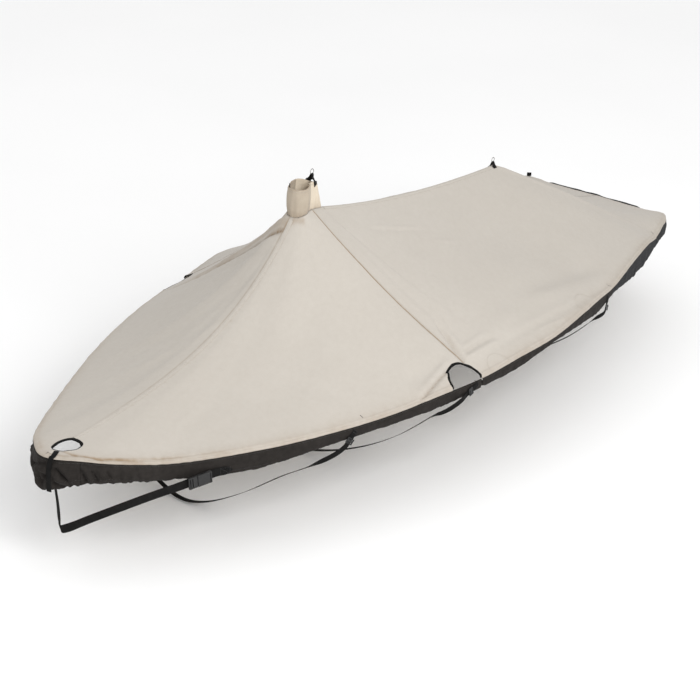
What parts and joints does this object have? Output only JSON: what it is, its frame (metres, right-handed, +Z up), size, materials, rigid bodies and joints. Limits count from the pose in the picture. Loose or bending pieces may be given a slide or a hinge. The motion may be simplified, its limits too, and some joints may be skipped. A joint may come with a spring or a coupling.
{
  "type": "boat cover",
  "caption": "Fitted cream boat cover for a sailing dinghy with its mast up: tented canopy, mast collar, dark gathered skirt, openings for the stays, and black belly and bow straps.",
  "frame": {"origin": "under the canopy's ridge, a little aft of the mast collar, where the boat's boom and mast hold the cover up", "axes": "+X aft along the boat's centreline, +Y to starboard, +Z up"},
  "size_m": [4.2471, 1.7408, 1.2698],
  "materials": {
    "canopy_cloth": "woven, matt",
    "collar_cloth": "woven, matt",
    "skirt_cloth": "woven, matt",
    "black_webbing": "woven webbing",
    "black_plastic": "moulded",
    "steel": "bright"
  },
  "bodies": {
    "root": {"canopy_fore_port": "canopy_cloth", "canopy_fore_starboard": "canopy_cloth", "canopy_aft_port": "canopy_cloth", "canopy_aft_starboard": "canopy_cloth", "collar_wrap": "collar_cloth", "collar_gusset": "collar_cloth", "skirt_bow_cap": "skirt_cloth", "skirt_fore_port": "skirt_cloth", "skirt_fore_starboard": "skirt_cloth", "skirt_mid_port": "skirt_cloth", "skirt_mid_starboard": "skirt_cloth", "skirt_aft_port": "skirt_cloth", "skirt_aft_starboard": "skirt_cloth", "skirt_stern": "skirt_cloth", "binding_shroud_port": "black_webbing", "binding_shroud_starboard": "black_webbing", "binding_forestay": "black_webbing", "bow_strap": "black_webbing", "bow_strap_tab": "black_webbing", "belly_strap_fore": "black_webbing", "belly_strap_shroud": "black_webbing", "belly_strap_stern": "black_webbing", "strap_tab_fore": "black_webbing", "strap_tab_shroud": "black_webbing", "strap_tab_stern": "black_webbing", "slit_strap": "black_webbing", "ridge_tab": "black_webbing", "collar_tab": "black_webbing", "collar_front_tab": "black_webbing", "quarter_tie_tab": "black_webbing", "buckle_socket": "black_plastic", "buckle_plug": "black_plastic", "strap_adjuster_fore": "black_plastic", "strap_adjuster_shroud": "black_plastic", "strap_adjuster_stern": "black_plastic", "ridge_ring": "steel", "collar_ring": "steel"}
  },
  "joints": []
}
